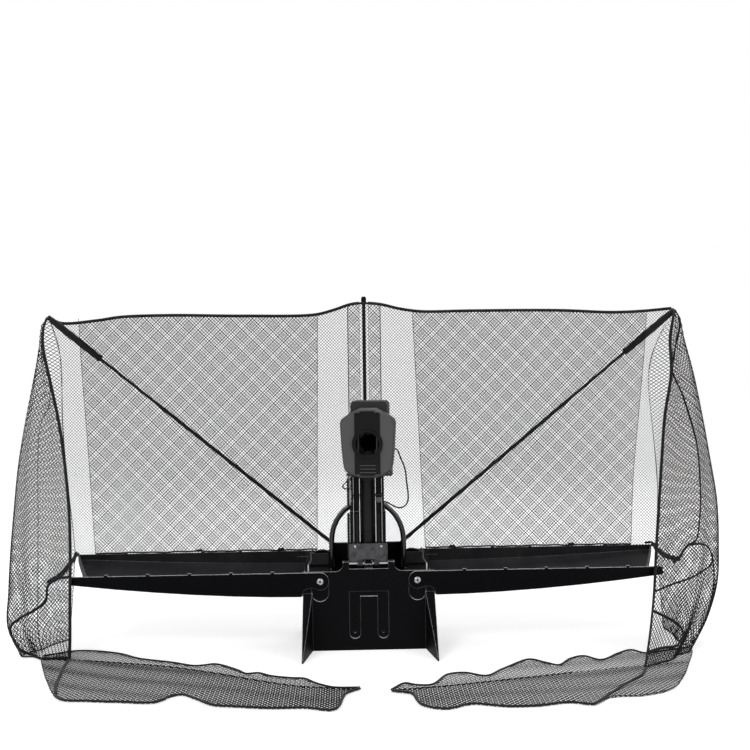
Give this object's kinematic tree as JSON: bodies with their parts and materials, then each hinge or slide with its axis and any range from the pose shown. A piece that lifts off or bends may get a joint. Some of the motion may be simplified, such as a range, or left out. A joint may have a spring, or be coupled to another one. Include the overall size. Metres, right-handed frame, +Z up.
{
  "type": "table tennis robot",
  "caption": "Ball-throwing machine with a turning head on a sliding mast, folding ball trays, a hopper with a feed disc, and a catch net on slanting poles.",
  "frame": {"origin": "middle of the underside of the base", "axes": "+X to the right of a player who faces the robot and along the spread net, +Y away from that player, +Z up"},
  "size_m": [1.8578, 0.6913, 0.916],
  "materials": {
    "satin_black": "satin moulded plastic",
    "deep_black": "fine-grained moulded plastic",
    "slate_grey": "satin moulded plastic",
    "slate_metal": "satin painted sheet",
    "pole_black": "satin coated tube",
    "steel": "bright steel",
    "rubber": "matt rubber",
    "board_green": "lacquered board",
    "nylon": "plain nylon",
    "brass": "cut brass",
    "net_black": "knotless mesh with sewn hems"
  },
  "bodies": {
    "base": {"base_housing": "satin_black", "base_plate": "deep_black", "rear_cover": "satin_black", "hopper_bowl": "deep_black", "lift_elbow": "deep_black", "feed_motor": "steel", "control_board": "board_green", "control_socket": "deep_black", "power_socket": "deep_black", "hopper_bridge": "satin_black", "carry_handle": "satin_black", "hinge_axle": "steel", "centre_pole_socket": "deep_black", "centre_pole": "pole_black", "centre_pole_cap": "deep_black", "pivot_screw_left": "steel", "pivot_screw_right": "steel", "net_back_left": "net_black", "net_back_right": "net_black", "net_inner_left": "net_black", "net_inner_right": "net_black", "net_centre": "net_black", "net_wing_left": "net_black", "net_wing_right": "net_black", "net_flap_left": "net_black", "net_flap_right": "net_black"},
    "feeder": {"feed_disc": "slate_grey", "feed_gear": "nylon"},
    "pinion": {"feed_pinion": "brass"},
    "left_tray": {"tray_left": "satin_black"},
    "right_tray": {"tray_right": "satin_black"},
    "left_pole": {"pole_tube_left": "pole_black"},
    "right_pole": {"pole_tube_right": "pole_black"},
    "left_rod": {"pole_rod_left": "pole_black", "pole_sleeve_left": "net_black"},
    "right_rod": {"pole_rod_right": "pole_black", "pole_sleeve_right": "net_black"},
    "tower": {"foot_plate": "slate_metal", "lower_mast": "slate_metal", "lower_duct": "deep_black", "conduit_lower": "rubber"},
    "clamp": {"lock_knob": "steel"},
    "mast": {"upper_mast": "slate_metal", "upper_duct": "deep_black", "conduit_upper": "rubber", "head_cable_left": "rubber", "head_cable_right": "rubber"},
    "yoke": {"head_yoke": "slate_metal"},
    "head": {"head_rear_cover": "deep_black", "head_elbow": "deep_black", "head_chassis": "slate_metal", "head_front_shell": "slate_grey", "front_fascia": "deep_black", "outlet_ring": "satin_black", "upper_motor": "steel", "lower_motor": "steel"},
    "tilt_screw": {"tilt_knob": "deep_black"},
    "wheel_above": {"upper_wheel": "rubber"},
    "wheel_below": {"lower_wheel": "rubber"}
  },
  "joints": [
    {"name": "tray_right_fold", "type": "hinge", "parent": "base", "child": "right_tray", "pos_m": [0.124, 0, 0.178], "axis": [0, -1, 0], "range_deg": [0, 90], "deforming": ["net_back_right", "net_inner_right", "net_wing_right", "net_flap_right"]},
    {"name": "tray_left_fold", "type": "hinge", "parent": "base", "child": "left_tray", "pos_m": [-0.124, 0, 0.178], "axis": [0, 1, 0], "range_deg": [0, 90], "deforming": ["net_back_left", "net_inner_left", "net_wing_left", "net_flap_left"]},
    {"name": "pole_right_fold", "type": "hinge", "parent": "base", "child": "right_pole", "pos_m": [0.08, 0.18, 0.218], "axis": [0, -1, 0], "range_deg": [0, 35.6]},
    {"name": "pole_left_fold", "type": "hinge", "parent": "base", "child": "left_pole", "pos_m": [-0.08, 0.18, 0.218], "axis": [0, 1, 0], "range_deg": [0, 35.6]},
    {"name": "pole_right_slide", "type": "slide", "parent": "right_pole", "child": "right_rod", "axis": [0.7716, 0, 0.6361], "range_m": [-0.3495, 0]},
    {"name": "pole_left_slide", "type": "slide", "parent": "left_pole", "child": "left_rod", "axis": [-0.7716, 0, 0.6361], "range_m": [-0.3495, 0]},
    {"name": "tower_fold", "type": "hinge", "parent": "base", "child": "tower", "pos_m": [0, -0.04, 0.218], "axis": [1, 0, 0], "range_deg": [0, 75]},
    {"name": "lock_turn", "type": "hinge", "parent": "tower", "child": "clamp", "pos_m": [0.029, -0.036, 0.381], "axis": [0, -1, 0], "range_deg": [0, 180]},
    {"name": "tower_slide", "type": "slide", "parent": "tower", "child": "mast", "axis": [0, 0, 1], "range_m": [-0.016, 0.03]},
    {"name": "head_pan", "type": "hinge", "parent": "mast", "child": "yoke", "pos_m": [0, 0, 0.443], "axis": [0, 0, 1], "range_deg": [-13.5, 26.5]},
    {"name": "head_tilt", "type": "hinge", "parent": "yoke", "child": "head", "pos_m": [0, 0, 0.505], "axis": [0.9936, -0.1132, 0], "range_deg": [-20, 5]},
    {"name": "tilt_knob_turn", "type": "hinge", "parent": "head", "child": "tilt_screw", "pos_m": [-0.05307, 0.00605, 0.505], "axis": [-0.9936, 0.1132, 0], "range_deg": [0, 180]},
    {"name": "upper_wheel_spin", "type": "hinge", "parent": "head", "child": "wheel_above", "pos_m": [0.00419, -0.06036, 0.579], "axis": [0.9936, -0.1132, 0], "continuous": true},
    {"name": "lower_wheel_spin", "type": "hinge", "parent": "head", "child": "wheel_below", "pos_m": [0.00419, -0.06036, 0.479], "axis": [0.9936, -0.1132, 0], "continuous": true},
    {"name": "feed_spin", "type": "hinge", "parent": "base", "child": "feeder", "pos_m": [0, 0.096, 0.04], "axis": [0, 0, 1], "continuous": true},
    {"name": "pinion_spin", "type": "hinge", "parent": "base", "child": "pinion", "pos_m": [0.033, 0.096, 0.03], "axis": [0, 0, 1], "continuous": true}
  ],
  "couplings": [
    {"joint": "pole_right_fold", "follows": "tray_right_fold", "ratio": 0.39444},
    {"joint": "pole_left_fold", "follows": "tray_left_fold", "ratio": 0.39444},
    {"joint": "pole_right_slide", "follows": "tray_right_fold", "m_per_rad": -0.2222},
    {"joint": "pole_left_slide", "follows": "tray_left_fold", "m_per_rad": -0.2222},
    {"joint": "pinion_spin", "follows": "feed_spin", "ratio": -2.6667}
  ]
}
